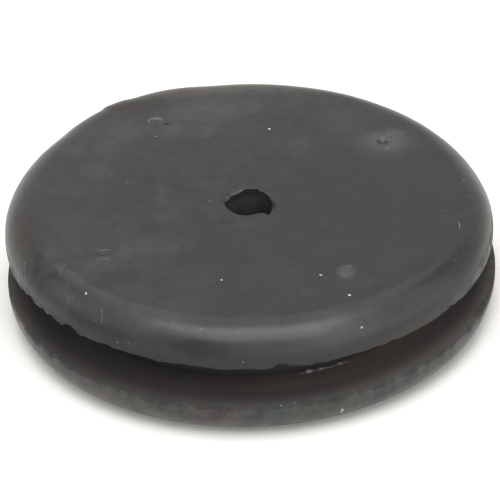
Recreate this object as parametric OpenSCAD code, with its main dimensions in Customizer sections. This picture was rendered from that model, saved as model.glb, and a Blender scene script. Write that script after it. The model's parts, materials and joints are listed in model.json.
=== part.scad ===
// Cable grommet for a 25.4 mm panel hole, moulded in one piece of black rubber.
// The origin is the centre of the face that it rests on, and +Z is the grommet's own axis.
// Lengths are in millimetres and angles in degrees, counted from +X towards +Y.

/* [Flanges] */
// Diameter of the upper flange
flange_d = 32; // [30:0.5:40]
// Extra diameter of the lower flange
lower_extra = 0.2; // [0:0.1:1]
// Thickness of the upper flange
upper_t = 2.5; // [2.3:0.1:4]
// Thickness of the lower flange
lower_t = 2.8; // [2.7:0.1:4]
// Radius that rounds the outer edge of each flange
rim_round = 2.2; // [1:0.1:2.2]
// Radius that softens the lower flange's edge at the groove
lower_corner = 0.4; // [0:0.05:0.4]
// Tilt of the upper flange, which the soft neck lets lean
lean = 1.3; // [0:0.1:1.5]
// Direction of the side that the lean lifts
lean_towards = 211; // [0:1:360]

/* [Panel groove] */
// Diameter of the groove's floor, which sits in the panel's hole
groove_d = 25.4; // [20:0.1:26]
// Width of the groove, a little more than the panel's thickness
groove_w = 2.6; // [2:0.1:4]
// Fillet between the groove's floor and each flange
root_round = 0.4; // [0.2:0.1:0.6]

/* [Cable hole] */
// Diameter of the hole through the middle
hole_d = 3; // [2:0.1:4]
// Offset of the hole from the axis along X
hole_x = 0.25; // [-1:0.05:1]
// Offset of the hole from the axis along Y
hole_y = -0.85; // [-1:0.05:1]
// Depth of the torn skin round the hole's mouth
skin_t = 0.35; // [0.2:0.05:0.6]

/* [Moulding marks] */
// Diameter of the circle on which the gate marks stand
gate_circle_d = 22.4; // [18:0.2:24]
// Diameter of one gate mark
gate_d = 1; // [0.6:0.1:1.4]
// Depth of the crater
gate_depth = 0.25; // [0.1:0.05:0.5]
// Depth of the shallow pit
pit_depth = 0.1; // [0.05:0.05:0.3]

/* [Hidden] */
$fn = 96;
eps = 0.01;

flange_r = flange_d / 2;
lower_r = flange_r + lower_extra / 2;
groove_r = groove_d / 2;
hole_r = hole_d / 2;
upper_z = lower_t + groove_w;
top_z = upper_z + upper_t;

// Directions of the four gate marks: a crater, a crescent, a pit and a flush spot.
crater_at = 33.5;
crescent_at = 122.2;
pit_at = 215.5;
spot_at = 303.3;
gate_r = gate_circle_d / 2;
bead_r = 0.12;

// Chips in the upper flange's sharp edge: direction and height. They reach inwards by chip_reach.
chips = [[276.2, 0.24], [222.9, 0.16]];
chip_r = 0.8;
chip_reach = 0.5;

// Spare rubber on the upper rim. The swell is the rim of a smaller disc, moved towards
// swell_at, so it sinks into the rounding at both ends. The lump stands on it.
swell_at = 118;
swell_shift = 3.7;
swell_round = 1.75;
lump_at = 125.5;
lump_reach = 1.1;
lump_round = 1.5;

// The torn skin's outline, round the axis of a hole 3 mm across.
mouth = [
    [-1.8, 0], [-1.2, 1.05], [-0.35, 1.65], [0.3, 1.75], [0.85, 1.25], [1.15, 0.7], [1.3, 0.05],
    [1.15, -1.2], [0.95, -1.5], [0.6, -1.15], [-0.4, -1.5], [-0.9, -1.4], [-1.3, -0.8]
];

// Half section of a flange: flat at the top and rounded into the outer edge. Its lower
// corner is where the mould parts, and it is square unless corner softens it.
module flange_section(r, t, round, corner = 0) {
    square([r - round, t]);
    square([r - corner, t - round]);
    translate([0, corner]) square([r, t - round - corner]);
    translate([r - round, t - round])
        intersection() {
            circle(round);
            square(round);
        }
    if (corner > 0)
        translate([r - corner, corner])
            intersection() {
                circle(corner);
                translate([0, -corner]) square(corner);
            }
}

// Half section of the ring that fills the root of the groove under a flange.
// It reaches eps into the flange, and its arc cuts the groove's floor at a slant.
module root_section() {
    reach = root_round * 0.9;
    difference() {
        translate([groove_r - 1, -reach]) square([1 + reach, reach + eps]);
        translate([groove_r + reach, -root_round]) circle(root_round);
        translate([groove_r + reach, -2 * root_round]) square(root_round);
    }
}

// A flange that stands on z = 0 with its rounded edge up, and the root below it.
module flange(r, t, corner = 0) {
    rotate_extrude() flange_section(r, t, rim_round, corner);
    rotate_extrude() root_section();
}

// Puts its children on the flat face of the upper flange, in the direction given.
module on_face(direction, r) {
    rotate(direction) translate([r, 0, upper_t]) rotate(-direction) children();
}

// A raised bead that follows part of a circle, as the gate's rim left it.
module bead(r, from, to) {
    rotate(from) rotate_extrude(angle = to - from) translate([r, 0]) circle(bead_r);
}

module gate_pit(d, depth) {
    translate([0, 0, -depth]) cylinder(d = d, h = depth + 1);
}

// A mark that was trimmed almost flush: the cap of a large ball.
module gate_spot() {
    cap_r = 4;
    cap_h = 0.08;
    intersection() {
        translate([0, 0, cap_h - cap_r]) sphere(cap_r);
        translate([0, 0, -cap_h]) cylinder(d = 2 * gate_d, h = 3 * cap_h);
    }
}

module rim_swell() {
    translate([swell_shift * cos(swell_at), swell_shift * sin(swell_at), 0.01])
        rotate_extrude()
            flange_section(flange_r - swell_shift - 0.02, upper_t - 0.02, swell_round);
}

// A patch of the rim where the rounding is smaller, so the rubber stands proud.
module rim_lump() {
    intersection() {
        rotate_extrude() flange_section(flange_r, upper_t, lump_round);
        rotate(lump_at) translate([flange_r - rim_round / 2, 0, 0]) cylinder(r = lump_reach, h = upper_t);
    }
}

// A chip out of the sharp edge, round in the side view.
module edge_chip(direction, height) {
    rotate(direction)
        translate([flange_r, 0, height - chip_r])
            rotate([0, 90, 0]) cylinder(r = chip_r, h = 2 * chip_reach, center = true);
}

// The upper flange in its own frame, with what the mould left on it.
module upper_flange() {
    difference() {
        union() {
            flange(flange_r, upper_t);
            rim_swell();
            rim_lump();
            on_face(spot_at, gate_r) gate_spot();
            on_face(crater_at, gate_r) bead(gate_d / 2 + bead_r, 0, 360);
            on_face(crescent_at, gate_r) bead(gate_d / 2, 20, 170);
        }
        on_face(crater_at, gate_r) gate_pit(gate_d, gate_depth);
        on_face(pit_at, gate_r) gate_pit(1.2 * gate_d, pit_depth);
        for (chip = chips) edge_chip(chip[0], chip[1]);
    }
}

module lower_flange() {
    translate([0, 0, lower_t]) mirror([0, 0, 1]) flange(lower_r, lower_t, lower_corner);
}

// The waist between the flanges, run well into each of them.
module neck() {
    sunk = 1;
    translate([0, 0, lower_t - sunk]) cylinder(r = groove_r, h = groove_w + 2 * sunk);
}

// The round hole, up to the skin that closes round its mouth.
module cable_hole() {
    translate([hole_x, hole_y, -1]) cylinder(r = hole_r, h = top_z - skin_t + 1);
}

module torn_mouth() {
    translate([hole_x, hole_y, top_z - skin_t - eps])
        linear_extrude(height = skin_t + 1) scale(hole_d / 3) polygon(mouth);
}

module grommet() {
    color([0.11, 0.11, 0.12])
        difference() {
            union() {
                lower_flange();
                neck();
                translate([0, 0, upper_z])
                    rotate(a = lean, v = [sin(lean_towards), -cos(lean_towards), 0])
                        upper_flange();
            }
            cable_hole();
            torn_mouth();
        }
}

grommet();
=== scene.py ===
"""A black rubber grommet on a white bench: its moulded, slightly worn surface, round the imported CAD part.

Lengths are in millimetres, and MM turns them into metres in make_object(), the materials and the camera.
Only the lamps and the bench are given in metres. Directions are azimuths, in degrees from +X towards +Y.
The grommet is modelled level first, and the lean of its upper flange comes last.
"""

import json
import math
import random
from types import SimpleNamespace

import bmesh
import bpy
import numpy as np
from mathutils import Matrix, Vector, noise
from mathutils.bvhtree import BVHTree


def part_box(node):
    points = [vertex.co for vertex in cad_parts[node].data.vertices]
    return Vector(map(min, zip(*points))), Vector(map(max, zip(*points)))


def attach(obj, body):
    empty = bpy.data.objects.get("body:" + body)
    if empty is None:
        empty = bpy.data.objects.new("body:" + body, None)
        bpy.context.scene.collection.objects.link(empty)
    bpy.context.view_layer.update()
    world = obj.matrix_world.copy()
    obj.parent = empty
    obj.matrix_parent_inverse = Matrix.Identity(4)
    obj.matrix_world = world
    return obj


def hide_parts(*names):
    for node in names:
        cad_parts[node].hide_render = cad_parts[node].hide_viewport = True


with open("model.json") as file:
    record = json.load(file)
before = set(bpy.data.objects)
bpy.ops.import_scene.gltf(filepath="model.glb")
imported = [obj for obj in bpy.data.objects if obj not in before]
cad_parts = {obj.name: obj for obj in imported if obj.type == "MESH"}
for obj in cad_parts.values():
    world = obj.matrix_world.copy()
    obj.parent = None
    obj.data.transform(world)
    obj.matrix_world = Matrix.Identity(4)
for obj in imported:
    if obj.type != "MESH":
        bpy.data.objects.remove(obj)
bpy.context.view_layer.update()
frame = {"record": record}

MM = 0.001
random.seed(7)

# ---- Sizes, in millimetres ----

low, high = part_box("grommet")
hole = next(mount for mount in frame["record"]["mounts"] if mount["name"] == "cable_hole")
HOLE_X = hole["pos_m"][0] / MM
HOLE_Y = hole["pos_m"][1] / MM
HOLE_R = hole["dims"]["r_mm"]

# The flanges: radius, thickness, and the rounding of their rims and of the edges at the groove.
LOWER_R = (high[0] - low[0]) / 2 / MM
LOWER_EXTRA = 0.1
UPPER_R = LOWER_R - LOWER_EXTRA
LOWER_T = 2.8
UPPER_T = 2.5
RIM_ROUND = 2.2
LOWER_CORNER = 0.4
UPPER_CORNER = 0.05

# The groove between them, and the heights of the upper flange's two faces.
GROOVE_W = 2.6
NECK_R = 12.7
ROOT_ROUND = 0.4
UPPER_Z = LOWER_T + GROOVE_W
TOP_Z = UPPER_Z + UPPER_T

# The upper flange leans, as the soft neck lets it, and is high on the side of LEAN_TOWARDS.
LEAN = math.radians(1.3)
LEAN_TOWARDS = math.radians(211)

# How far the lower flange is off to the right, as the mould's halves were a little out of line.
LOWER_SHIFT = 0.05

# The torn skin at the mouth, round the axis of the hole, and its thickness. Its edge is frayed by FRAY,
# in bumps as wide as FRAY_SIZE, and overhangs its own underside by UNDERCUT.
MOUTH = [
    (-1.87, 0), (-1.7, 0.54), (-1.48, 0.88), (-1.39, 1.14), (-1, 1.37), (-0.76, 1.56), (-0.36, 1.74),
    (0.26, 1.73), (0.52, 1.44), (0.8, 1.22), (1.1, 0.68), (1.3, 0.02), (1.24, -0.7), (1.14, -1.25),
    (0.97, -1.5), (0.78, -1.26), (0.5, -1.18), (0, -1.36), (-0.42, -1.48), (-0.84, -1.42), (-1.15, -1.2),
    (-1.46, -0.88), (-1.67, -0.55), (-1.8, -0.26),
]
SKIN_T = 0.35
FRAY = 0.03
FRAY_SIZE = 0.25
UNDERCUT = 0.1

# The directions from the hole in which the skin's edge slopes in, is folded and is creased, and how far
# and how wide it slopes.
CURL = (112, 168)
FOLD = (100, 136)
CREASE = (28, 57)
CURL_DROP = 0.085
CURL_REACH = 0.42

# The bore gets wider towards the torn skin between these two heights, and has a small bevel at its foot.
BORE_WIDENS = (5.4, 7.4)
BORE_BEVEL = 0.08

# Where the gates stood, on the upper face.
CRESCENT = (-6.02, 9.48)
CRATER = (9.26, 6.13)
PIT = (-9.28, -6.61)
SPOT = (6.04, -9.18)

# The crescent's lip is an arc of this radius. Its centre is this far behind the mark's.
ARC_R = 0.45
ARC_BEHIND = 0.1

# Round each gate mark, the mesh is finer out to this radius, by this many cuts of each edge.
FINE_REACH = 1.05
FINE_CUTS = 6

# The upper flange's sharp edge, by direction: how far its flash hangs down, or where it is negative, how
# deep a chip is. The deepest ones are at 223 and 276 degrees, and none is deeper than DEEPEST_CHIP.
EDGE_LINE = [
    (0, 0.05), (186, 0.05), (192, 0.34), (198, 0.36), (200, 0.28), (202, 0.34), (204, 0.14), (205, 0.24),
    (207, 0), (208, -0.06), (209, 0.2), (212, 0.16), (213.5, 0), (215, 0.24), (216.5, 0), (218, 0.14),
    (220.5, 0.25), (221.5, 0.06), (222.3, -0.1), (223.3, -0.15), (224.5, -0.08), (226, 0.17), (227, 0.27),
    (228, 0.14), (232, 0.13), (235, 0.01), (236.5, 0.13), (238, 0.05), (247, 0.06), (248, 0.16),
    (250, 0.05), (251, 0.12), (253, 0.02), (260, 0.08), (261, 0.16), (265, 0.12), (268, 0.08),
    (272.5, 0.13), (274, 0.03), (275, -0.2), (276, -0.23), (277, -0.2), (278, -0.04), (280, 0.08),
    (283, 0.16), (284, 0), (286, 0.13), (288, 0.08), (292, 0), (296, 0.05), (299, -0.03), (301, 0.08),
    (303, -0.07), (305, 0.05), (311, 0), (315, 0.05), (319, -0.04), (320.5, 0), (322, -0.14), (324, 0.04),
    (325, -0.06), (327, 0.05), (336, 0), (345, 0), (360, 0.05),
]
DEEPEST_CHIP = 0.24

# Vertices round the rims, and round everything else.
FINE = 960
COARSE = 320

# The rings of the upper face are crowded at the mouth, and never further apart than FACE_GAP. They end
# at FACE_REACH from the mouth, and FACE_R is the circle that they grow into.
FACE_GAP = 0.36
FACE_REACH = 11.2
FACE_R = 13.0

# Edges that turn more than this are shaded as sharp ones.
SHARP_ANGLE = math.radians(42)

# ---- Noise, soft steps and directions ----


def noise_at(points, size, seed):
    """Smooth noise from about -1 to 1, whose bumps are as wide as size, at each of the points."""
    shift = Vector((0, 0, 17.3 * seed))
    return np.array([noise.noise(Vector(point) / size + shift) for point in points])


def bump(distance, reach):
    """1 at no distance, falling smoothly to nothing at about twice the reach."""
    return np.exp(-(distance / reach) ** 2)


def step(value, start, end):
    """0 before start and 1 after end, with a smooth rise between them."""
    t = np.clip((value - start) / (end - start), 0, 1)
    return t * t * (3 - 2 * t)


def fade(value, start, end):
    """1 before start and 0 after end, with a smooth fall between them."""
    return 1 - step(value, start, end)


def between(value, start, end, soft):
    """1 from start to end, and 0 outside, with a smooth change as wide as soft at both."""
    half = soft / 2
    return step(value, start - half, start + half) * fade(value, end - half, end + half)


def azimuth(angles):
    """Angles in radians as azimuths from 0 to 360 degrees."""
    return np.degrees(angles) % 360


def polar(direction, r, z):
    """The point in a direction, in degrees, at a radius and a height."""
    a = math.radians(direction)
    return Vector((r * math.cos(a), r * math.sin(a), z))


# ---- The moulded surface ----


def angles_of(count):
    """The directions of that many points round a circle, in radians."""
    return np.arange(count) * 2 * math.pi / count


def circle(count, r, z, x=0.0, y=0.0):
    """A level ring of points. r and z are numbers or have one value for each point."""
    a = angles_of(count)
    return np.column_stack((x + r * np.cos(a), y + r * np.sin(a), z + 0 * a))


def mouth_radius(angles):
    """How far the torn outline is from the hole's axis in each direction."""
    radii = np.full(len(angles), np.inf)
    for (x0, y0), (x1, y1) in zip(MOUTH, MOUTH[1:] + MOUTH[:1]):
        start = math.atan2(y0, x0)
        sweep = (math.atan2(y1, x1) - start) % (2 * math.pi) - 2 * math.pi
        inside = (angles - start) % (2 * math.pi) - 2 * math.pi >= sweep
        across = x0 * (y1 - y0) - y0 * (x1 - x0)
        reach = across / (np.cos(angles) * (y1 - y0) - np.sin(angles) * (x1 - x0))
        radii = np.where(inside, reach, radii)
    return radii


def mouth_ring(grow, z):
    """The torn outline, made larger by grow and finely frayed."""
    around = circle(COARSE, HOLE_R, 0)
    r = mouth_radius(angles_of(COARSE)) + grow + FRAY * noise_at(around, FRAY_SIZE, 1)
    return circle(COARSE, r, z, HOLE_X, HOLE_Y)


def lip_height(angles, distance):
    """The height of the skin at a distance outside the mouth. Its edge is rounded. At the back left it
    also slopes in, with a faint fold behind, and there is a crease at the back right."""
    t = azimuth(angles)
    at_curl = between(t, *CURL, 16)
    round_r = 0.03 + 0.05 * at_curl
    edge = -0.85 * round_r * np.clip(1 - distance / round_r, 0, 1) ** 1.25
    curl = -CURL_DROP * at_curl * np.clip(1 - distance / CURL_REACH, 0, 1) ** 2
    folded = 0.012 * bump(distance - 0.72, 0.1) - 0.02 * bump(distance - 0.52, 0.09)
    fold = between(t, *FOLD, 14) * folded
    crease_at = 0.3 * (CREASE[1] - t) / (CREASE[1] - CREASE[0])
    crease = -0.012 * between(t, *CREASE, 10) * bump(distance - 0.2 - crease_at, 0.12)
    return edge + curl + fold + crease


def face_distances():
    """How far the rings of the upper face are from the mouth. They are close together near it."""
    distance, gap, found = 0.0, 0.02, []
    while distance < FACE_REACH:
        found.append(distance)
        distance += gap
        gap = min(gap * (1.3 if gap < 0.05 else 1.13), FACE_GAP)
    return found


def upper_face_rings():
    """From the mouth, whose outline turns into circles on the way, to the flat face's outer part."""
    a = angles_of(COARSE)
    distances = face_distances()
    mouth = mouth_ring(0, TOP_Z)
    outer = circle(COARSE, FACE_R, TOP_Z)
    rings = []
    for distance in distances:
        share = distance / (distances[-1] + FACE_GAP)
        ring = mouth * (1 - share) + outer * share
        ring[:, 2] += lip_height(a, distance)
        rings.append(ring)
    rings.append(outer)
    return rings


def edge_hang(angles):
    """How far the upper flange's sharp edge hangs below its true line: its flash, chips and fraying."""
    directions, hangs = zip(*EDGE_LINE)
    edge = circle(FINE, UPPER_R, UPPER_Z)
    ragged = 0.02 * noise_at(edge, 0.9, 3) + 0.025 * noise_at(edge, 0.35, 4)
    return np.maximum(np.interp(azimuth(angles), directions, hangs) + ragged, -DEEPEST_CHIP)


def rim_swell(angles):
    """How far the rounding of the upper rim stands from a true arc. It is a little low round the back,
    but for a swell of spare rubber at the back left, on which a lump ends in a step."""
    t = azimuth(angles)
    back = -0.11 * step(t, 0, 14) * fade(t, 96, 106)
    left = -0.09 * step(t, 138, 146) * fade(t, 165, 185)
    swell = 0.18 * step(t, 98, 115) * fade(t, 127, 143)
    lump = 0.11 * step(t, 119, 124) * fade(t, 127.2, 130)
    return back + left + swell + lump


def rim_rings(r, top, corner, round_r, swell, hang):
    """The rounding of a flange, from its flat face at the height top to its edge at the height corner,
    and the edge's own small rounding. It serves both flanges."""
    up = 1 if top > corner else -1
    side = top - up * RIM_ROUND
    edge = corner - up * hang
    flat = 0.45
    rings = [circle(FINE, r - RIM_ROUND - flat, top)]
    steps = 15
    for k in range(steps + 1):
        turn = math.pi / 2 * (1 - k / steps)
        reach = RIM_ROUND + swell * math.sin(2 * turn) ** 1.5
        out, rise = reach * math.cos(turn), reach * math.sin(turn)
        rings.append(circle(FINE, r - RIM_ROUND + out, side + up * rise))
    wall = edge + up * round_r - side
    rings.append(circle(FINE, r, side + 0.5 * wall))
    steps = 5
    for k in range(steps + 1):
        turn = math.pi / 2 * k / steps
        across, along = round_r * (1 - math.cos(turn)), round_r * (1 - math.sin(turn))
        rings.append(circle(FINE, r - across, edge + up * along))
    return rings


def root_rings(z, away):
    """The fillet at a root of the groove, from the flange at height z to the neck. away is 1 or -1, the
    way from the flange to the groove."""
    steps = 5
    rings = []
    for k in range(steps + 1):
        turn = math.pi / 2 * k / steps
        inward, rise = ROOT_ROUND * math.sin(turn), ROOT_ROUND * (1 - math.cos(turn))
        rings.append(circle(COARSE, NECK_R + ROOT_ROUND - inward, z + away * rise))
    return rings


def groove_rings(hang):
    """From the upper flange's sharp edge, in over the groove's walls and floor, to the lower one's."""
    rings = []
    for inward, share in ((0.2, 0.8), (0.5, 0.3), (1.0, 0)):
        rings.append(circle(FINE, UPPER_R - inward, UPPER_Z - share * hang))
    for inward in (1.4, 2.1):
        rings.append(circle(COARSE, UPPER_R - inward, UPPER_Z))
    rings += root_rings(UPPER_Z, -1)
    top, bottom = UPPER_Z - ROOT_ROUND, LOWER_T + ROOT_ROUND
    steps = 6
    for k in range(1, steps):
        rings.append(circle(COARSE, NECK_R, top + (bottom - top) * k / steps))
    rings += reversed(root_rings(LOWER_T, 1))
    for inward in (2.2, 1.5):
        rings.append(circle(COARSE, LOWER_R - inward, LOWER_T))
    for inward in (1.2, 0.85, 0.55):
        rings.append(circle(FINE, LOWER_R - inward, LOWER_T))
    return rings


def resting_face_rings():
    """From the lower rim's flat part to the plain mouth of the hole."""
    outer = circle(COARSE, LOWER_R - RIM_ROUND - 0.8, 0)
    inner = circle(COARSE, HOLE_R + BORE_BEVEL, 0, HOLE_X, HOLE_Y)
    shares = [0, 0.15, 0.32, 0.5, 0.67, 0.82, 0.93, 1]
    return [outer * (1 - share) + inner * share for share in shares]


def bore_rings():
    """Up the hole, which widens to the torn outline where that is larger, to the ledge under the skin
    and the underside of its edge."""
    rings = []
    skin = mouth_radius(angles_of(COARSE)) + UNDERCUT
    wall = np.maximum(HOLE_R, skin)
    ledge = TOP_Z - SKIN_T
    for z in (BORE_BEVEL, 0.8, 2.0, 3.2, 4.4, 5.2, 5.8, 6.2, 6.5, 6.8, 7.1, 7.3, ledge - 0.08):
        r = HOLE_R + (wall - HOLE_R) * step(z, *BORE_WIDENS)
        rings.append(circle(COARSE, r, z, HOLE_X, HOLE_Y))
    for share, z in ((0.35, ledge), (0.75, ledge + 0.04), (1.0, ledge + 0.08)):
        rings.append(circle(COARSE, wall * (1 - share) + skin * share, z, HOLE_X, HOLE_Y))
    rings.append(mouth_ring(UNDERCUT, TOP_Z - 0.25))
    return rings


def all_rings():
    """The whole surface as one closed row of rings: out from the mouth, round and up the hole."""
    a = angles_of(FINE)
    hang = edge_hang(a)
    around = circle(FINE, LOWER_R, LOWER_T)
    worn = LOWER_CORNER + 0.07 * noise_at(around, 1.3, 5) + 0.04 * noise_at(around, 0.5, 6)
    rings = upper_face_rings()
    rings += rim_rings(UPPER_R, TOP_Z, UPPER_Z, UPPER_CORNER, rim_swell(a), hang)
    rings += groove_rings(hang)
    rings += reversed(rim_rings(LOWER_R, 0, LOWER_T, worn, 0 * a, 0 * a))
    rings += resting_face_rings()
    rings += bore_rings()
    return rings


def bridge(mesh, a, b):
    """Faces between two rings, one of which may be finer than the other by a whole number of times."""
    count = min(len(a), len(b))
    fine_a, fine_b = len(a) // count, len(b) // count
    for k in range(count):
        side_a = [a[(k * fine_a + j) % len(a)] for j in range(fine_a + 1)]
        side_b = [b[(k * fine_b + j) % len(b)] for j in range(fine_b + 1)]
        mesh.faces.new(side_a[::-1] + side_b)


# ---- What the mould, the trimming and use left on the surface ----

# In these forms, u is how far a point is to the right of the mark's middle and v how far behind it.
# grain is noise, which makes the outlines uneven.


def crescent_height(u, v, grain):
    """A half-moon cut: a thin lip at its back edge, hooked round at the left, from which the bed rises
    to the front, and a small deep tear at its right end."""
    d = np.hypot(u, v - ARC_BEHIND) + 0.008 * grain
    back = between(azimuth(np.arctan2(v - ARC_BEHIND, u)), 14, 192, 20)
    lip = 0.03 * back * bump(d - ARC_R, 0.085)
    bed = -0.04 * fade(d, 0.34, 0.43) * step(v, -0.3, 0.3)
    tear = -0.18 * fade(np.hypot((u - 0.66) / 2.2, v + 0.19 + 0.1 * (u - 0.64)), 0.07, 0.12)
    return lip + bed + tear


def crater_height(u, v, grain):
    """A deep groove round the front of a nib of rubber in a low dome, a bead in front of it and another
    one behind it."""
    dome = 0.05 * bump(np.hypot(u + 0.02, v - 0.08), 1.1)
    d = np.hypot(u + 0.16, v - 0.40) + 0.012 * grain
    front = between(azimuth(np.arctan2(v - 0.34, u + 0.16)), 166, 354, 14)
    groove = -0.19 * front * between(d, 0.29, 0.55, 0.09)
    nib = 0.12 * bump(d, 0.20)
    bead_before, bead_behind = np.hypot(u - 0.11, v + 0.72), np.hypot(u - 0.36, v - 0.92)
    beads = 0.08 * bump(bead_before, 0.14) + 0.04 * bump(bead_behind, 0.16)
    return dome + groove + nib + beads


def pit_height(u, v, grain):
    """A shallow pit: a small step down at its back edge, a bed that falls on and rises again to the
    front, and a dent at its right."""
    edge = 0.73 - 0.5 * u ** 2 + 0.01 * grain
    across = between(u, -0.52, 0.46, 0.5)
    drop = -0.062 * fade(v, edge - 0.12, edge)
    bed = -0.05 * fade(v, edge - 0.55, edge - 0.08)
    rise = 0.112 * fade(v, -0.75, edge - 0.55)
    dent = -0.11 * fade(np.hypot(u - 0.44, v + 0.21), 0.07, 0.12)
    return across * (drop + bed + rise) + dent


def spot_height(u, v, grain):
    """A gate trimmed almost flush, which left a rough patch with a bead in front and behind."""
    d = np.hypot(u / 0.85, v) + 0.1 * grain
    patch = fade(d, 0.45, 0.75) * (0.014 + 0.012 * grain)
    bead_before, bead_behind = np.hypot(u + 0.15, v + 0.41), np.hypot(u - 0.26, v - 0.6)
    return patch + 0.03 * bump(bead_before, 0.1) + 0.02 * bump(bead_behind, 0.12)


GATE_MARKS = ((CRESCENT, crescent_height), (CRATER, crater_height), (PIT, pit_height), (SPOT, spot_height))


def mark_heights(points):
    """The height that the four gate marks add at each point."""
    height = np.zeros(len(points))
    mark_reach = 2.6
    for (x, y), form in GATE_MARKS:
        u, v = points[:, 0] - x, points[:, 1] - y
        near = np.hypot(u, v) < mark_reach
        grain = noise_at(points[near], 0.22, 11)
        height[near] += form(u[near], v[near], grain)
    return height


def refine_marks(mesh):
    """Splits the faces of the upper face round each gate mark, so that the mesh can hold its form."""
    edges = set()
    for face in mesh.faces:
        middle = face.calc_center_median()
        near = [math.hypot(middle.x - x, middle.y - y) < FINE_REACH for (x, y), _ in GATE_MARKS]
        if middle.z > TOP_Z - 0.02 and any(near):
            edges.update(face.edges)
    bmesh.ops.subdivide_edges(mesh, edges=list(edges), cuts=FINE_CUTS, use_grid_fill=True)


def roughen(mesh):
    """Where each vertex goes with the gate marks, the slight unevenness of moulded rubber and the
    rougher wall of the hole. What rests on the bench stays flat."""
    mesh.normal_update()
    points = np.array([vertex.co for vertex in mesh.verts])
    normals = np.array([vertex.normal for vertex in mesh.verts])
    reach = np.hypot(points[:, 0], points[:, 1])
    on_face = (points[:, 2] > TOP_Z - 0.3) & (reach < FACE_R + 0.4)
    heights = np.where(on_face, mark_heights(points), 0)
    uneven = 0.022 * noise_at(points, 4.5, 21) + 0.006 * noise_at(points, 1.4, 22)
    in_hole = (reach < 4) & (points[:, 2] < TOP_Z - SKIN_T)
    uneven += np.where(in_hole, 0.04 * noise_at(points, 0.35, 23) - 0.03, 0)
    uneven *= step(points[:, 2], 0.05, 0.6)
    points += normals * uneven[:, None]
    points[:, 2] += heights
    return points


def lean(points):
    """Leans the upper flange over and moves the lower one aside. The neck takes up the turn, so the
    lower flange stays level."""
    share = step(points[:, 2], LOWER_T + 0.3, UPPER_Z - 0.3)
    high_side = np.array((math.cos(LEAN_TOWARDS), math.sin(LEAN_TOWARDS)))
    along = points[:, :2] @ high_side
    angle = LEAN * share
    rise = points[:, 2] - UPPER_Z
    new_along = along * np.cos(angle) - rise * np.sin(angle)
    leant = points.copy()
    leant[:, :2] += (new_along - along)[:, None] * high_side
    leant[:, 2] = UPPER_Z + rise * np.cos(angle) + along * np.sin(angle)
    leant[:, 0] += LOWER_SHIFT * (1 - share)
    return leant


def set_places(mesh, points):
    """Moves every vertex to its new place."""
    for vertex, point in zip(mesh.verts, points):
        vertex.co = point


def grommet_mesh():
    """The whole grommet, level, as one closed mesh."""
    mesh = bmesh.new()
    rings = [[mesh.verts.new(point) for point in ring] for ring in all_rings()]
    for a, b in zip(rings, rings[1:] + rings[:1]):
        bridge(mesh, a, b)
    bmesh.ops.recalc_face_normals(mesh, faces=mesh.faces)
    refine_marks(mesh)
    set_places(mesh, roughen(mesh))
    return mesh


# ---- Dust and lint ----

# Grains that lie on the upper face and its rounding, seen from above: x, y and size.
TOP_GRAINS = [
    (1.57, 8.26, 0.2), (4.37, -9.55, 0.2), (6.08, -11.88, 0.19), (-10.49, -10.53, 0.17),
    (-1.93, -9.81, 0.15), (6.74, -14.07, 0.18), (6.74, -13.88, 0.1), (-1.4, -0.05, 0.12),
    (-6.07, 7.69, 0.12), (0.16, -15.06, 0.08), (-3.29, -14.97, 0.13), (-3.32, -14.63, 0.11),
    (-0.97, -15, 0.09), (-5.42, -13.98, 0.08), (-10.75, -9.48, 0.09), (-9.15, -11.8, 0.1),
    (-2.96, -14.92, 0.09), (12.57, -2.33, 0.08), (14.16, 1.34, 0.11), (-14.7, 1.99, 0.14),
    (-2.58, -0.55, 0.085), (-7.9, 1.95, 0.08), (13, -7.6, 0.08), (11.7, 10.4, 0.08), (-12.6, -6.2, 0.07),
    (9.36, 5.34, 0.1),
]

# Grains on the steep sides: direction, height and size.
SIDE_GRAINS = [
    (231.1, 6.73, 0.12), (237.7, 5.89, 0.12), (267.4, 5.89, 0.13), (201.6, 5.62, 0.12),
    (240.5, 6.1, 0.08), (275.4, 2.6, 0.12), (278.6, 2.65, 0.09), (289.6, 1.2, 0.17), (289.7, 1.4, 0.17),
    (273.5, 2.25, 0.09), (296.5, 2.25, 0.06), (253.7, 1.78, 0.12), (232, 6.2, 0.08),
]

# Grains larger than this are fresh, and whiter.
WHITE_FROM = 0.145

# Short threads on the upper face and its rounding, seen from above: both ends, how far the middle bows
# sideways and the thickness.
THREADS = [
    (-14.54, -5.73, -14.55, -6.57, 0.03, 0.022), (-9.51, -11.87, -9.54, -12.61, 0.05, 0.02),
    (13.5, -3.7, 13.46, -4.7, 0.04, 0.022), (12.42, -2.46, 12.72, -2.4, 0.2, 0.016),
    (-3.35, -14.95, -3.2, -14.6, 0.06, 0.016),
]

# A strand of lint in the corner of the groove: the directions of its ends, how far from the axis and how
# high it lies, and its thickness. The knots in it: direction and size.
STRAND = (281.8, 297.0)
STRAND_R = NECK_R + 0.52
STRAND_Z = LOWER_T + 0.03
STRAND_THICK = 0.018
KNOTS = [(284.6, 0.36), (285.2, 0.30), (288.1, 0.22), (288.8, 0.16), (293.8, 0.20), (294.3, 0.22)]

# Things that fall on the grommet start this far from its middle.
FAR = 20
DOWN = Vector((0, 0, -1))
UP = Vector((0, 0, 1))


def settle(tree, start, direction):
    """Where something thrown from start in that direction lands, and how the surface faces there."""
    place, normal, _, _ = tree.ray_cast(start, direction)
    return place, normal


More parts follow.
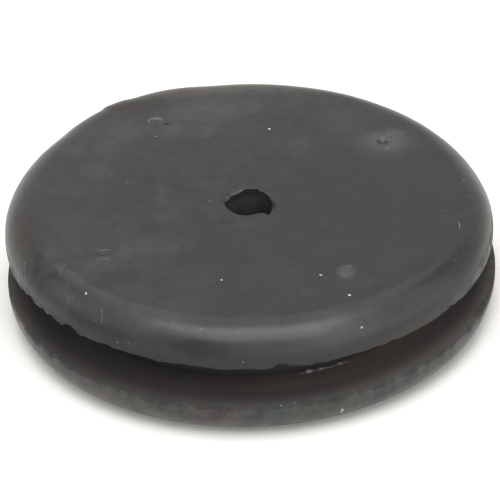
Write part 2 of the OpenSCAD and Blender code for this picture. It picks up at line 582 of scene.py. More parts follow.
def add_grain(mesh, place, normal, size):
    """A flattened, uneven grain that sits in the surface. The large ones have the second material."""
    turn = normal.to_track_quat("Z", "Y").to_matrix().to_4x4()
    width, depth = size * random.uniform(0.45, 0.6), size * random.uniform(0.4, 0.5)
    stretch = Matrix.Diagonal((width, depth, size * 0.35, 1))
    matrix = Matrix.Translation(place + normal * size * 0.1) @ turn @ stretch
    made = bmesh.ops.create_icosphere(mesh, subdivisions=2, radius=1.0, matrix=matrix)
    for vertex in made["verts"]:
        vertex.co += (vertex.co - place) * 0.25 * noise.noise(vertex.co / (0.3 * size))
        for face in vertex.link_faces:
            face.material_index = int(size > WHITE_FROM)


def add_thread(mesh, path, thickness, white=False):
    """A thin tube with six sides along a path of points, drawn in at both ends."""
    sides = 6
    rings = []
    for k, point in enumerate(path):
        ahead = path[min(k + 1, len(path) - 1)] - path[max(k - 1, 0)]
        turn = ahead.to_track_quat("Z", "Y").to_matrix()
        from_end = min(k, len(path) - 1 - k)
        r = thickness * min(1.0, 0.4 + from_end * 0.3)
        around = [turn @ Vector((math.cos(a), math.sin(a), 0)) * r for a in angles_of(sides)]
        rings.append([mesh.verts.new(point + offset) for offset in around])
    for a, b in zip(rings, rings[1:]):
        for k in range(sides):
            face = mesh.faces.new((a[k], a[(k + 1) % sides], b[(k + 1) % sides], b[k]))
            face.material_index = int(white)
    mesh.faces.new(rings[0][::-1])
    mesh.faces.new(rings[-1])


def thread_path(tree, x0, y0, x1, y1, bow, thickness):
    """Points of a bowed thread that lies on the surface."""
    steps = 12
    along = Vector((x1 - x0, y1 - y0, 0))
    sideways = Vector((-along.y, along.x, 0)).normalized()
    path = []
    for k in range(steps + 1):
        share = k / steps
        above = Vector((x0, y0, FAR)) + along * share + sideways * bow * math.sin(math.pi * share)
        place, normal = settle(tree, above, DOWN)
        path.append(place + normal * thickness * 0.5)
    return path


def strand_path():
    """Points of the strand of lint, which wavers a little."""
    steps = 40
    path = []
    for k in range(steps + 1):
        r = STRAND_R + 0.05 * noise.noise(Vector((k / 7, 0, 3)))
        path.append(polar(STRAND[0] + (STRAND[1] - STRAND[0]) * k / steps, r, STRAND_Z))
    return path


def dust_mesh(tree):
    """All the loose specks on the grommet, laid on the surface that the tree holds."""
    mesh = bmesh.new()
    for x, y, size in TOP_GRAINS:
        add_grain(mesh, *settle(tree, Vector((x, y, FAR)), DOWN), size)
    for direction, height, size in SIDE_GRAINS:
        add_grain(mesh, *settle(tree, polar(direction, FAR, height), -polar(direction, 1, 0)), size)
    for thread in THREADS:
        thickness = thread[-1]
        add_thread(mesh, thread_path(tree, *thread), thickness)
    add_thread(mesh, strand_path(), STRAND_THICK, white=True)
    for direction, size in KNOTS:
        add_grain(mesh, polar(direction, STRAND_R, STRAND_Z), UP, size)
    bmesh.ops.recalc_face_normals(mesh, faces=mesh.faces)
    return mesh


# ---- Material nodes ----


class Nodes:
    """A short way to write a material's nodes. Sockets are passed from one call to the next."""

    def __init__(self, tree):
        self.tree = tree

    def add(self, kind, inputs=None, output=0, **settings):
        """Makes a node with these inputs and settings, and gives one of its outputs."""
        node = self.tree.nodes.new(kind)
        for name, value in settings.items():
            setattr(node, name, value)
        for name, value in (inputs or {}).items():
            self.put(node.inputs[name], value)
        return node.outputs[output] if node.outputs else None

    def put(self, socket, value):
        """Links the socket where the value is a socket too, and sets it otherwise."""
        if isinstance(value, bpy.types.NodeSocket):
            self.tree.links.new(value, socket)
        else:
            socket.default_value = value

    def math(self, operation, a, b=0.0):
        return self.add("ShaderNodeMath", {0: a, 1: b}, operation=operation)

    def several(self, operation, first, *others):
        for value in others:
            first = self.math(operation, first, value)
        return first

    def total(self, *values):
        return self.several("ADD", *values)

    def product(self, *values):
        return self.several("MULTIPLY", *values)

    def largest(self, *values):
        return self.several("MAXIMUM", *values)

    def opposite(self, mask):
        return self.math("SUBTRACT", 1.0, mask)

    def vector(self, operation, a, b=(0, 0, 0), output=0):
        return self.add("ShaderNodeVectorMath", {0: a, 1: b}, output=output, operation=operation)

    def length(self, vector):
        return self.vector("LENGTH", vector, output=1)

    def along(self, place, direction):
        """How far a place lies in a direction."""
        return self.vector("DOT_PRODUCT", place, direction, output=1)

    def ramp(self, value, start, end):
        """value from start to end, spread smoothly over 0 to 1."""
        inputs = {"Value": value, "From Min": start, "From Max": end}
        return self.add("ShaderNodeMapRange", inputs, interpolation_type="SMOOTHSTEP")

    def ramp_mm(self, value, start, end):
        """The same for a length, from start to end in millimetres."""
        return self.ramp(value, start * MM, end * MM)

    def noise(self, place, size_mm, detail=3.0, roughness=0.55, output=0):
        inputs = {"Vector": place, "Scale": 1 / (size_mm * MM), "Detail": detail, "Roughness": roughness}
        return self.add("ShaderNodeTexNoise", inputs, output=output)

    def frayed(self, value, pattern, width_mm):
        """A length that a noise pattern makes longer and shorter, over this width in all."""
        return self.total(value, self.product(self.math("SUBTRACT", pattern, 0.5), width_mm * MM))

    def blend(self, factor, a, b):
        """Colour a where factor is 0 and b where it is 1."""
        node = self.tree.nodes.new("ShaderNodeMix")
        node.data_type = "RGBA"
        colour_a, colour_b, colour_out = 6, 7, 2
        self.put(node.inputs["Factor"], factor)
        self.put(node.inputs[colour_a], a)
        self.put(node.inputs[colour_b], b)
        return node.outputs[colour_out]


def new_material(name):
    material = bpy.data.materials.new(name)
    material.use_nodes = True
    material.node_tree.nodes.clear()
    return material, Nodes(material.node_tree)


def object_place(n):
    """Where a point is in the object's own frame, in metres."""
    object_output = 3
    return n.add("ShaderNodeTexCoord", output=object_output)


def part_of(n, vector, axis):
    """One component of a vector: 0 is x, 1 is y and 2 is z."""
    return n.add("ShaderNodeSeparateXYZ", {0: vector}, output=axis)


# ---- The colours of the rubber, and where they lie ----

# Soft patches: centre, half width along X and Y, and strength. First on the upper flange, where a
# blue-grey bloom has come out of the rubber.
BLUE = [
    (-3.1, 10.6, 2.8, 1.6, 0.9), (-3, 8.6, 1.2, 1, 0.7), (-2.2, 11.6, 1.4, 1, 0.7),
    (-5, 8.6, 1.1, 1.2, 0.7), (-7.6, 8.4, 1.5, 1.3, 0.6), (-9.3, 6.1, 0.9, 1.3, 0.45),
    (-9.7, 4, 1.1, 1.4, 0.4), (-6.4, -5.7, 1.8, 1.7, 0.38), (-5.2, -5.8, 0.8, 0.7, 0.4),
    (-9.5, -7.7, 1.5, 1, 0.5), (-8.2, -6.3, 0.9, 1.2, 0.55), (-7.2, -8.1, 1.2, 0.7, 0.2),
]

# Where the bloom is greener.
TEAL = [
    (-9.8, 3.7, 1.2, 1.2, 0.7), (-8.2, -4.1, 0.8, 1, 0.5), (-11.5, 6.8, 1, 1, 0.3),
]

# Where the rubber is nearly black with a green tinge.
DARK_TEAL = [
    (-3.3, -2, 0.9, 0.9, 0.9), (-2.5, -4.7, 0.9, 0.7, 1), (13, 4.4, 0.9, 0.9, 0.9),
    (-7.8, -9, 0.6, 0.5, 0.5),
]

# Where dust makes it pale. The tall patch at the right edge of the upper rim, at (15.9, -1), is a painted
# reflection where the rounding turns away from the eye. Round the back of the rim, at (0, 13.5) and (-1,
# 15), the pale band is partly dust and partly painted reflection.
PALE = [
    (-5.7, 0.5, 0.5, 1.6, 0.45), (-0.5, -3.6, 1.2, 0.6, 0.3), (3.5, -11.5, 0.9, 0.7, 0.35),
    (6.7, 9.4, 2.2, 1.8, 0.38), (3.6, 6.2, 0.9, 1.7, 0.28), (2.1, 3.3, 0.7, 1.1, 0.2),
    (9.2, 6.1, 2.2, 1.9, 0.8), (0.3, 11.4, 1.4, 1.1, 0.65), (-11.5, 6.4, 1.2, 1.1, 0.55),
    (-11.4, -8.8, 1.6, 1.5, 0.35), (-7.9, -11, 2.6, 1.3, 0.28), (-2.9, -9.9, 1, 0.9, 0.15),
    (-5.1, -2.1, 0.8, 0.9, 0.2), (-9, 8.6, 3, 3, 0.36), (-12, 3, 2.5, 5, 0.18), (-11, -4, 3, 5, 0.2),
    (0, 13.5, 9, 2.8, 0.3), (9, 10.6, 3, 1.6, 0.25), (-5.5, -12.6, 5, 1.2, 0.3), (-2, 9, 7, 4, 0.15),
    (-3.5, 13.6, 4.5, 1.6, 0.75), (-11.8, -10.4, 0.9, 0.8, 0.6), (-12.6, -6.4, 1, 1.6, 0.4),
    (-0.6, 11, 1, 1.5, 0.4), (-6.5, -14.6, 2.6, 1.8, 0.6), (5.2, -15.2, 2.6, 1.6, 0.6),
    (15.9, -1, 0.8, 5, 0.6), (-1, 15, 10, 1.8, 0.8), (-12.6, -9.4, 1.2, 1, 0.5),
    (-14.6, -5.4, 0.8, 1.6, 0.45),
]

# Where it is brown.
WARM = [
    (-11.3, -10.6, 1.3, 1.6, 0.9), (-6.5, 1.4, 1, 0.7, 0.5), (10.2, 10, 1.2, 1.4, 0.6),
    (-7.4, 11.1, 1.4, 0.9, 0.6), (15, -4.6, 0.9, 3, 0.8), (-0.4, -2.7, 0.7, 0.4, 0.4),
    (-12.9, -1.2, 0.9, 1.5, 0.5), (-14.6, -3.2, 0.9, 3.5, 0.9), (14.4, 4.5, 1.2, 3, 0.6),
    (2, 15.4, 9, 0.9, 0.6), (-12.5, 8.6, 1.2, 2, 0.5),
]

# Where it was wiped dark. The two small patches beside grains, at (1.57, 7.85) and (4.2, -9.9), are painted
# shadows of those grains.
DARK = [
    (-1.3, -12.6, 3.4, 1, 0.5), (1.6, -6.7, 0.8, 1.3, 0.35), (2.8, -11.6, 0.3, 0.4, 0.6),
    (11.8, -9.6, 2.6, 2, 0.7), (14.3, 2.1, 0.8, 1.8, 0.4), (-8.7, -0.1, 1.4, 1.9, 0.5),
    (1.57, 7.85, 0.16, 0.14, 0.9), (4.2, -9.9, 0.2, 0.2, 0.6), (6.6, -1.4, 8.5, 7.5, 0.75),
    (-1, -5.5, 3.5, 3.5, 0.35), (7.2, -6.1, 0.7, 0.9, 0.3),
]

# Thicker dust at the crater and at the flush spot, and along the back of the rim a pale band that is partly
# dust and partly painted reflection.
GATE_PALE = [
    (6.02, -9.15, 0.62, 0.85, 1), (9.5, 6.4, 1.5, 1.4, 0.8), (9, 7.2, 0.9, 0.6, 0.5),
    (9.9, 7.2, 0.9, 0.8, 0.9), (-1, 14.5, 10.5, 1.7, 0.85),
]

# Small scuff marks at the front left of the rim, and painted highlights on the beads and the nib of two
# gate marks.
SCUFFS_AND_GLINTS = [
    (6.28, -8.55, 0.2, 0.15, 0.5), (5.89, -9.59, 0.12, 0.13, 0.7), (9.1, 6.58, 0.17, 0.24, 1),
    (9.37, 5.43, 0.2, 0.14, 0.5), (-11.85, -7.5, 0.14, 0.2, 0.4), (-11.98, -7.75, 0.14, 0.16, 0.28),
    (-12.1, -8, 0.16, 0.38, 0.38), (-11.21, -8.6, 0.18, 0.2, 0.4), (-10.73, -9.37, 0.15, 0.25, 0.38),
    (-11.64, -10.23, 0.17, 0.22, 0.3), (-11.81, -9.75, 0.15, 0.15, 0.15),
    (-10.95, -10.92, 0.18, 0.22, 0.24), (-11.6, -9.39, 0.15, 0.22, 0.18),
]

# Painted shade in the cuts of the crescent, the pit and the crater.
CUT_SHADE = [
    (-5.36, 9.29, 0.26, 0.13, 1), (-9.4, -6.5, 0.5, 0.22, 0.8), (-8.84, -6.83, 0.14, 0.14, 1),
    (9.12, 6.03, 0.4, 0.2, 0.5),
]

# Black and rough rubber at the right and the left of the hole.
MATT = [(1.58, -1.15, 0.3, 0.65, 1), (-1.62, -0.55, 0.22, 0.3, 0.7)]

# On the lower rim: a greenish patch and a dusty one.
LOW_TEAL = [(1.2, -16, 0.7, 1, 0.6)]
LOW_PALE = [(-15.3, -5.2, 0.9, 2, 0.8)]

# The clean rubber, between its darkest and its lightest, and its mottling.
BLACK = (0.0070, 0.0070, 0.0070, 1)
DARK_GREY = (0.0135, 0.0132, 0.0132, 1)
MOTTLED = (0.032, 0.032, 0.032, 1)

# What lies on the upper flange, in the order in which it is laid on.
LAYERS = [
    (WARM, (0.0215, 0.0165, 0.0135, 1)),
    (TEAL, (0.022, 0.029, 0.027, 1)),
    (PALE, (0.050, 0.049, 0.048, 1)),
    (BLUE, (0.045, 0.051, 0.057, 1)),
    (DARK, (0.007, 0.007, 0.007, 1)),
    (DARK_TEAL, (0.004, 0.010, 0.0085, 1)),
]
# Pale grey of thick dust, and of the painted reflection round the back of the rim.
THICK_DUST_AND_REFLECTION = (0.070, 0.069, 0.067, 1)
# Pale grey of scuff marks, and of the painted highlights on the crescent's arc, the mouth's lip and the
# gate marks' beads and nib.
SCUFF_AND_GLINT_GREY = (0.088, 0.088, 0.086, 1)
# Near black: painted shade in the cuts of the gate marks, and the black beside the hole.
CUT_SHADE_AND_BLACK = (0.002, 0.002, 0.002, 1)
UPPER_SIDE_PALE = (0.052, 0.052, 0.047, 1)
SPECKLED = (0.07, 0.07, 0.07, 1)

# The lower rim, and its foot near the bench: where it is dusty, where less so, and what else is on it. The
# rim's and the foot's greys are partly dust and partly painted light bounced up from the bench, most at the
# foot.
RIM_DUSTY_BENCH_LIT = (0.094, 0.088, 0.081, 1)
RIM_CLEANER_BENCH_LIT = (0.052, 0.049, 0.046, 1)
FOOT_DUSTY_BENCH_LIT = (0.15, 0.14, 0.127, 1)
FOOT_CLEANER_BENCH_LIT = (0.098, 0.092, 0.084, 1)
RIM_GREEN = (0.05, 0.075, 0.068, 1)
RIM_BEHIND = (0.022, 0.020, 0.018, 1)
RIM_PALE = (0.19, 0.18, 0.165, 1)
# Painted shade on the lower flange's corner, under the upper flange's edge.
RIM_CORNER_SHADE = (0.008, 0.008, 0.008, 1)

# The groove: the ledge of the lower flange deep inside, at the left and at the right, its outer part in the
# middle and at both ends, and the neck. The ledge's pale greys are partly dust and partly painted light,
# paler to the right; the outer part is lighter at its ends as painted light, and the neck's near black is
# painted shade under the upper flange.
LEDGE_LEFT = (0.110, 0.105, 0.100, 1)
LEDGE_RIGHT = (0.245, 0.235, 0.225, 1)
OUTER_MIDDLE = (0.031, 0.029, 0.027, 1)
OUTER_ENDS = (0.052, 0.049, 0.046, 1)
NECK_SHADE = (0.025, 0.024, 0.023, 1)

# The wall of the hole near its mouth, and further down, where its darker grey is painted shade.
HOLE_GREY = (0.034, 0.033, 0.032, 1)
HOLE_SHADE = (0.012, 0.012, 0.012, 1)

# Tints to multiply a colour by: none, the brown of the upper rim's back and sides, and the groove's.
NO_TINT = (1.0, 1.0, 1.0, 1)
BACK_TINT = (1.26, 1.0, 0.76, 1)
GROOVE_TINT = (1.08, 1.0, 0.96)

# The roughness of the clean rubber, and what clouds, shelter and the matt patches add to it. Below about
# 0.274, the render's denoiser leaves clusters of small specks, so nothing is smoother than LEAST_ROUGH.
LEAST_ROUGH = 0.278
CLOUD_ROUGH = 0.062
SHELTERED_ROUGH = 0.42
MATT_ROUGH = 0.65

# The rubber's polish and its faint sheen.
SPECULAR = 0.345
SHEEN = 0.06
SHEEN_ROUGH = 0.2
SHEEN_TINT = (1.0, 0.97, 0.93, 1)


def patches(n, place, listed):
    """How much of a colour there is at each place, from a list of soft patches. A patch is full out to
    0.3 of its half width and ends at 1.35 of it."""
    total = 0.0
    for x, y, half_x, half_y, strength in listed:
        moved = n.vector("SUBTRACT", place, (x * MM, y * MM, 0))
        scaled = n.vector("MULTIPLY", moved, (1 / (half_x * MM), 1 / (half_y * MM), 0))
        total = n.largest(total, n.product(n.ramp(n.length(scaled), 1.35, 0.3), strength))
    return total


def regions(n):
    """Lengths measured at a point of the rubber, masks that are 1 in one region of it and 0 outside, and
    the noise that several of its colours share."""
    at = SimpleNamespace()
    at.place = object_place(n)
    at.height = part_of(n, at.place, 2)
    at.across = part_of(n, at.place, 0)
    at.spread = n.vector("MULTIPLY", at.place, (1, 1, 0))
    at.reach = n.length(at.spread)

    at.cloud = n.ramp(n.noise(at.place, 2.6, 5.0, 0.62), 0.32, 0.68)
    at.blotches = n.noise(at.place, 1.1, 4.0, 0.65)
    at.ragged = n.total(n.product(n.ramp(n.noise(at.place, 0.9, 4.0, 0.65), 0.3, 0.6), 0.55), 0.45)
    tint_noise = n.noise(at.place, 1.8, 2.0, output=1)
    tint_parts = {0: tint_noise, 1: (0.3, 0.3, 0.3), 2: (0.85, 0.85, 0.85)}
    at.tint = n.add("ShaderNodeVectorMath", tint_parts, operation="MULTIPLY_ADD")

    # The upper flange, the side of the lower one, its worn corner, and its front with all of its foot.
    at.above = n.ramp_mm(at.height, UPPER_Z + 0.3, UPPER_Z + 1.0)
    at.low_rim = n.ramp_mm(at.height, LOWER_T + 0.4, LOWER_T + 0.1)
    ragged_height = n.frayed(at.height, at.blotches, 1.0)
    at.corner = n.product(at.low_rim, n.ramp_mm(ragged_height, LOWER_T - 0.6, LOWER_T - 0.3))
    front = n.ramp_mm(n.along(at.place, (0.2, 1.0, 0)), -3, -6)
    at.in_front = n.largest(front, n.ramp_mm(at.height, 2.3, 1.9))

    # The groove, which ends raggedly near the outer edge of the lower flange.
    below_upper = n.ramp_mm(at.height, UPPER_Z + 0.8, UPPER_Z + 0.6)
    over_lower = n.ramp_mm(at.height, LOWER_T - 0.3, LOWER_T - 0.1)
    ragged_reach = n.frayed(at.reach, n.noise(at.place, 0.8, 4.0), 0.9)
    inside_rim = n.ramp_mm(ragged_reach, LOWER_R + 0.1, LOWER_R - 0.35)
    outside_bore = n.ramp_mm(at.reach, 5, 6)
    at.in_groove = n.product(n.product(below_upper, over_lower), n.product(inside_rim, outside_bore))

    # The hole, up to just under its mouth, and the lip that slopes into it at the back left.
    beside_hole = n.vector("SUBTRACT", at.spread, (HOLE_X * MM, HOLE_Y * MM, 0))
    from_hole = n.length(beside_hole)
    below_mouth = n.ramp_mm(at.height, TOP_Z - 0.11, TOP_Z - 0.15)
    at.in_hole = n.product(n.ramp_mm(from_hole, 2.0, 1.9), below_mouth)
    back_left = n.ramp_mm(n.along(beside_hole, (-0.8, 0.6, 0)), 1.42, 1.66)
    sunk = n.ramp_mm(at.height, TOP_Z - 0.03, TOP_Z - 0.10)
    at.lip = n.product(back_left, n.ramp_mm(from_hole, 2.2, 2.1), sunk)
    return at


def clean_rubber(n, at):
    """The rubber itself: two blacks in clouds, and a mottling that is stronger towards the back left."""
    mottle = n.ramp(n.noise(at.place, 0.7, 4.0, 0.6), 0.35, 0.75)
    back_left = n.along(at.place, (-0.7, 0.7, 0))
    limits = {"From Min": -4 * MM, "From Max": 4 * MM, "To Min": 0.3, "To Max": 0.5}
    share = n.add("ShaderNodeMapRange", {"Value": back_left, **limits})
    colour = n.blend(at.cloud, BLACK, DARK_GREY)
    colour = n.blend(n.product(mottle, share), colour, MOTTLED)
    return n.vector("MULTIPLY", colour, at.tint)


def with_layers(n, at, colour):
    """Adds the bloom, the dust and the brown and dark patches of the upper flange, among them painted
    reflection at the right edge and round the back of the rim, and painted shadows beside two grains. All
    but the thickest dust have outlines that noise bends."""
    drift = n.vector("SUBTRACT", n.noise(at.place, 1.5, 4.0, 0.6, output=1), (0.5, 0.5, 0.5))
    drift = n.add("ShaderNodeVectorMath", {0: drift, "Scale": 1.9 * MM}, operation="SCALE")
    warped = n.vector("ADD", at.place, drift)
    for listed, shade in LAYERS:
        colour = n.blend(n.product(patches(n, warped, listed), at.ragged, at.above), colour, shade)
    thick = n.product(patches(n, at.place, GATE_PALE), at.ragged, at.above)
    return n.blend(thick, colour, THICK_DUST_AND_REFLECTION)


def with_marks(n, at, colour, matt):
    """Adds pale scuff marks, painted highlights on the crescent's arc, the mouth's lip and the beads and
    nib of two gate marks, and painted shade in the cuts of the gate marks, with the black beside the hole.
    """
    arc_centre = (CRESCENT[0] * MM, (CRESCENT[1] + ARC_BEHIND) * MM, 0)
    from_cut = n.vector("SUBTRACT", at.spread, arc_centre)
    off_arc = n.math("ABSOLUTE", n.math("SUBTRACT", n.length(from_cut), ARC_R * MM))
    behind = n.ramp_mm(n.along(from_cut, (-0.25, 0.97, 0)), -0.08, 0.12)
    # The pale arc along the crescent's lip is a painted highlight, and so is the pale lip of the mouth.
    arc = n.product(n.ramp_mm(off_arc, 0.15, 0.04), behind)
    scuff_and_glint_share = n.product(patches(n, at.place, SCUFFS_AND_GLINTS), at.above)
    scuffed_and_glinting = n.largest(n.product(arc, at.above), n.product(at.lip, 0.8), scuff_and_glint_share)
    colour = n.blend(scuffed_and_glinting, colour, SCUFF_AND_GLINT_GREY)
    # Painted shade in the cuts of the gate marks, and the black beside the hole.
    shade_and_black_share = n.largest(n.product(patches(n, at.place, CUT_SHADE), at.above), matt)
    return n.blend(shade_and_black_share, colour, CUT_SHADE_AND_BLACK)


def with_upper_side_tones(n, at, colour):
    """Lightens the side of the upper rim, most at the right, and browns its back and sides."""
    side = n.product(n.ramp_mm(at.height, 7.0, 6.2), n.ramp_mm(at.across, -8, 1))
    colour = n.blend(n.product(side, 0.5), colour, UPPER_SIDE_PALE)
    back_reach = n.length(n.vector("ADD", at.spread, (0, 1.2 * MM, 0)))
    outer_rim = n.product(
        n.ramp_mm(back_reach, 14.2, 15.4),
        n.ramp_mm(at.height, 6.3, 7.0),
        n.ramp_mm(n.along(at.place, (0, 1, 0)), -8, -2),
    )
    return n.vector("MULTIPLY", colour, n.blend(outer_rim, NO_TINT, BACK_TINT))


def lower_rim_colour(n, at):
    """The lower rim: blotchy and dusty in front, palest at its foot, and dark behind. Its paleness is
    partly dust and partly painted light bounced up from the bench, and its corner has painted shade.
    """
    blotch = n.ramp(at.blotches, 0.36, 0.64)
    rim = n.blend(blotch, RIM_DUSTY_BENCH_LIT, RIM_CLEANER_BENCH_LIT)
    foot = n.blend(blotch, FOOT_DUSTY_BENCH_LIT, FOOT_CLEANER_BENCH_LIT)
    # Paler towards the bench: partly dust, partly painted light bounced up from it.
    colour = n.blend(n.ramp_mm(at.height, 1.9, 0.6), rim, foot)
    tint = n.vector("ADD", n.vector("MULTIPLY", at.tint, (0.7, 0.7, 0.7)), (0.3, 0.3, 0.3))
    colour = n.vector("MULTIPLY", colour, tint)
    colour = n.blend(n.product(patches(n, at.place, LOW_TEAL), at.ragged), colour, RIM_GREEN)
    colour = n.blend(at.in_front, RIM_BEHIND, colour)
    pale = n.product(patches(n, at.place, LOW_PALE), n.ramp_mm(at.height, 1.8, 2.2))
    colour = n.blend(pale, colour, RIM_PALE)
    # Painted shade on the corner, under the upper flange's edge.
    return n.blend(n.product(at.corner, 0.3), colour, RIM_CORNER_SHADE)


def groove_colour(n, at):
    """The groove: pale deep inside, partly from dust and partly as painted light, most at the right, darker
    further out, and with painted shade on the neck.
    """
    # Pale ledge, partly dust and partly painted light, paler to the right.
    ledge = n.blend(n.ramp_mm(at.across, -10, 13), LEDGE_LEFT, LEDGE_RIGHT)
    at_ends = n.largest(n.ramp_mm(at.across, 3, 12), n.ramp_mm(at.across, -13, -15.5))
    outer = n.blend(at_ends, OUTER_MIDDLE, OUTER_ENDS)
    colour = n.blend(n.ramp_mm(at.reach, 15.2, 13.2), outer, ledge)
    # Painted shade on the neck, under the upper flange.
    neck = n.ramp_mm(at.reach, NECK_R + 0.5, NECK_R + 0.2)
    colour = n.blend(n.product(neck, 0.75), colour, NECK_SHADE)
    return n.vector("MULTIPLY", colour, GROOVE_TINT)


def rubber_roughness(n, at, matt):
    """Fairly smooth, in clouds, where things rub on it, and rough where it is sheltered."""
    beside = n.product(at.low_rim, n.opposite(at.in_front))
    sheltered = n.largest(at.in_groove, at.in_hole, at.corner, beside, n.product(at.low_rim, 0.3))
    sheltered = n.total(sheltered, n.product(at.corner, 0.35))
    clean = n.total(n.product(at.cloud, CLOUD_ROUGH), LEAST_ROUGH)
    return n.total(clean, n.product(sheltered, SHELTERED_ROUGH), n.product(matt, MATT_ROUGH))


def rubber_relief(n, at):
    """The grain and pores of the moulded skin, which are too fine for the mesh."""
    grain = n.noise(at.place, 0.12, 2.0)
    pores = n.noise(at.place, 0.45, 3.0)
    relief = n.total(n.product(grain, 0.35), pores)
    return n.add("ShaderNodeBump", {"Height": relief, "Strength": 0.25, "Distance": 0.02 * MM})


def rubber():
    """Matt black moulded rubber, mottled and bloomed on top, and dusty where nothing wipes it, with painted
    light and shade in the groove, in the hole and on the lower rim, and painted highlights and shadows at
    some marks.
    """
    material, n = new_material("moulded_rubber")
    at = regions(n)
    matt = n.product(patches(n, at.place, MATT), at.above)

    colour = clean_rubber(n, at)
    colour = with_layers(n, at, colour)
    colour = with_marks(n, at, colour, matt)
    colour = with_upper_side_tones(n, at, colour)
    on_low_rim = n.product(at.low_rim, n.opposite(at.in_groove))
    colour = n.blend(on_low_rim, colour, lower_rim_colour(n, at))
    colour = n.blend(at.in_groove, colour, groove_colour(n, at))
    # The hole's wall darkens further down: painted shade.
    hole_wall = n.blend(n.ramp_mm(at.height, 7.1, 6.3), HOLE_GREY, HOLE_SHADE)
    colour = n.blend(at.in_hole, colour, hole_wall)
    speckles = n.ramp(n.noise(at.place, 0.25, 2.0), 0.4, 0.7)
    colour = n.blend(n.product(speckles, 0.06), colour, SPECKLED)

    shader = n.add(
        "ShaderNodeBsdfPrincipled",
        {
            "Base Color": colour,
            "Roughness": rubber_roughness(n, at, matt),
            "Normal": rubber_relief(n, at),
            "Specular IOR Level": SPECULAR,
            "Sheen Weight": SHEEN,
            "Sheen Roughness": SHEEN_ROUGH,
            "Sheen Tint": SHEEN_TINT,
        },
    )
    n.add("ShaderNodeOutputMaterial", {"Surface": shader})
    return material


def dust(name, darkest, palest):
    """Specks and lint, from one grey to another and a touch warm."""
    material, n = new_material(name)
    warmth = 0.98
    shade = n.ramp(n.noise(object_place(n), 0.6, 2.0), 0.35, 0.65)
    colour = n.blend(shade, (darkest, darkest, warmth * darkest, 1), (palest, palest, warmth * palest, 1))
    inputs = {"Base Color": colour, "Roughness": 0.85, "Specular IOR Level": 0.3}
    shader = n.add("ShaderNodeBsdfPrincipled", inputs)
    n.add("ShaderNodeOutputMaterial", {"Surface": shader})
    return material


# ---- Studio ----

# The camera looks at this point from this far, in millimetres. All its values were fitted to the photo.
CAMERA_TARGET = (0.0, -1.93, 4.97)
CAMERA_DISTANCE = 256.0
CAMERA_ELEVATION = math.radians(34.05)
CAMERA_ROLL = math.radians(2.3)
SENSOR = 36.0
FOCAL_LENGTH = 282.1

# A lamp: name, direction and elevation in degrees, distance, width and height in metres, and how bright
# its face is, where a white background is 1. The soft box gives no gloss, and the cards only gloss.
SOFT_BOX = ("overhead_soft_box", -92, 73, 0.5, 0.33, 0.46, 4.5)
CARDS = [
    ("front_card", -86, 66, 0.5, 0.45, 0.38, 4.0),
    ("low_front_card", -68, 22, 0.6, 0.8, 0.5, 1.25),
    ("ceiling_card", 90, 80, 0.6, 0.75, 0.75, 1.4),
    ("left_card", 192, 34, 0.6, 0.5, 0.5, 1.0),
    ("right_card", 345, 28, 0.6, 0.6, 0.8, 1.35),
]

# The light that comes from all round, and the bench: its half width in metres, its colour, and what the
# eye sees of it, which is a colour counted twice and a glow.
AMBIENT = 0.32
WHITE = (1, 1, 1, 1)
BENCH_HALF = 3.0
BENCH = (0.8, 0.8, 0.8, 1)
BENCH_SEEN = (0.515, 0.511, 0.494, 1)
BENCH_GLOW = 0.155


def make_camera():
    """A long lens from the front, as near as a product photographer stands with it."""
    back = Vector((0, -math.cos(CAMERA_ELEVATION), math.sin(CAMERA_ELEVATION)))
    right = Vector((1, 0, 0))
    up = back.cross(right)
    turn = Matrix.Rotation(CAMERA_ROLL, 3, -back)
    data = bpy.data.cameras.new("camera")
    data.sensor_width = SENSOR
    data.lens = FOCAL_LENGTH
    data.clip_start = 0.01
    data.clip_end = 10
    camera = bpy.data.objects.new("camera", data)
    rotation = Matrix((turn @ right, turn @ up, back)).transposed().to_4x4()
    place = Vector(CAMERA_TARGET) + back * CAMERA_DISTANCE
    camera.matrix_world = Matrix.Translation(place * MM) @ rotation
    bpy.context.collection.objects.link(camera)
    bpy.context.scene.camera = camera


def make_lamp(name, direction, elevation, distance, width, height, radiance):
    """A soft rectangle of light that faces the grommet."""
    data = bpy.data.lights.new(name, "AREA")
    data.shape = "RECTANGLE"
    data.size = width
    data.size_y = height
    data.energy = radiance * math.pi * width * height
    lamp = bpy.data.objects.new(name, data)
    elevation = math.radians(elevation)
    outward = polar(direction, math.cos(elevation), math.sin(elevation))
    lamp.location = outward * distance
    lamp.rotation_euler = outward.to_track_quat("Z", "Y").to_euler()
    bpy.context.collection.objects.link(lamp)
    return lamp


def make_lamps():
    make_lamp(*SOFT_BOX).visible_glossy = False
    for card in CARDS:
        make_lamp(*card).visible_diffuse = False


def seen_directly(n):
    """1 for rays from the camera, and for what gloss and glass show."""
    path = n.tree.nodes.new("ShaderNodeLightPath")
    rays = ("Is Camera Ray", "Is Glossy Ray", "Is Transmission Ray")
    return n.largest(*(path.outputs[ray] for ray in rays))


def make_world():
    """White to the eye, and a plain soft light on the object."""
    world = bpy.data.worlds.new("studio")
    bpy.context.scene.world = world
    world.use_nodes = True
    world.node_tree.nodes.clear()
    n = Nodes(world.node_tree)
    ambient = n.add("ShaderNodeBackground", {"Color": WHITE, "Strength": AMBIENT})
    white = n.add("ShaderNodeBackground", {"Color": WHITE, "Strength": 1.0})
    mixed = n.add("ShaderNodeMixShader", {0: seen_directly(n), 1: ambient, 2: white})
    n.add("ShaderNodeOutputWorld", {"Surface": mixed})


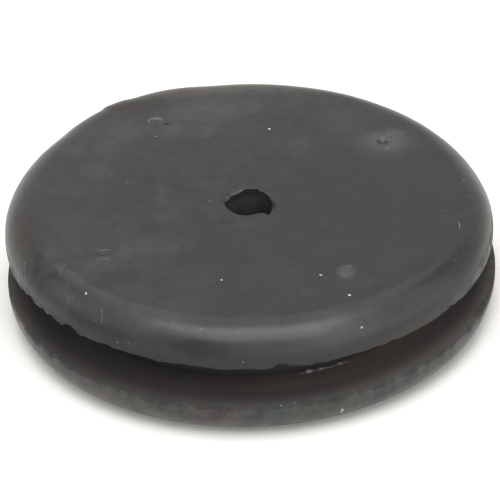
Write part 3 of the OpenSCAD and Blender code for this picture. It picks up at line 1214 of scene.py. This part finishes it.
def make_floor():
    """A white bench top. To the eye it is a little brighter than its own light makes it, so that only
    the contact shadow shows on it."""
    half = BENCH_HALF
    corners = [(-half, -half, 0), (half, -half, 0), (half, half, 0), (-half, half, 0)]
    mesh = bpy.data.meshes.new("floor")
    mesh.from_pydata(corners, [], [(0, 1, 2, 3)])
    floor = bpy.data.objects.new("floor", mesh)
    bpy.context.collection.objects.link(floor)
    material, n = new_material("white_bench")
    plain = n.add("ShaderNodeBsdfDiffuse", {"Color": BENCH})
    bright = n.add("ShaderNodeBsdfDiffuse", {"Color": BENCH_SEEN})
    doubled = n.add("ShaderNodeAddShader", {0: bright, 1: bright})
    glow = n.add("ShaderNodeEmission", {"Color": WHITE, "Strength": BENCH_GLOW})
    raised = n.add("ShaderNodeAddShader", {0: doubled, 1: glow})
    surface = n.add("ShaderNodeMixShader", {0: seen_directly(n), 1: plain, 2: raised})
    n.add("ShaderNodeOutputMaterial", {"Surface": surface})
    mesh.materials.append(material)


# ---- The scene ----


def lean_mesh(mesh):
    set_places(mesh, lean(np.array([vertex.co for vertex in mesh.verts])))


def make_object(name, mesh, materials):
    """Turns a bmesh in millimetres into an object in metres, smooth shaded but for its sharp edges."""
    bmesh.ops.scale(mesh, vec=(MM, MM, MM), verts=mesh.verts)
    for face in mesh.faces:
        face.smooth = True
    data = bpy.data.meshes.new(name)
    mesh.to_mesh(data)
    mesh.free()
    data.set_sharp_from_angle(angle=SHARP_ANGLE)
    for material in materials:
        data.materials.append(material)
    piece = bpy.data.objects.new(name, data)
    bpy.context.collection.objects.link(piece)
    return piece


surface = grommet_mesh()
specks = dust_mesh(BVHTree.FromBMesh(surface))
lean_mesh(surface)
lean_mesh(specks)
for name, mesh, materials, slot in (
    ("moulded_grommet", surface, [rubber()], "rubber"),
    ("dust_and_lint", specks, [dust("grey_dust", 0.13, 0.32), dust("white_dust", 0.5, 0.8)], "dust"),
):
    piece = make_object(name, mesh, materials)
    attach(piece, "root")
    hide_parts("grommet")

make_camera()
make_world()
make_floor()
make_lamps()

bpy.context.scene.view_settings.view_transform = "Standard"
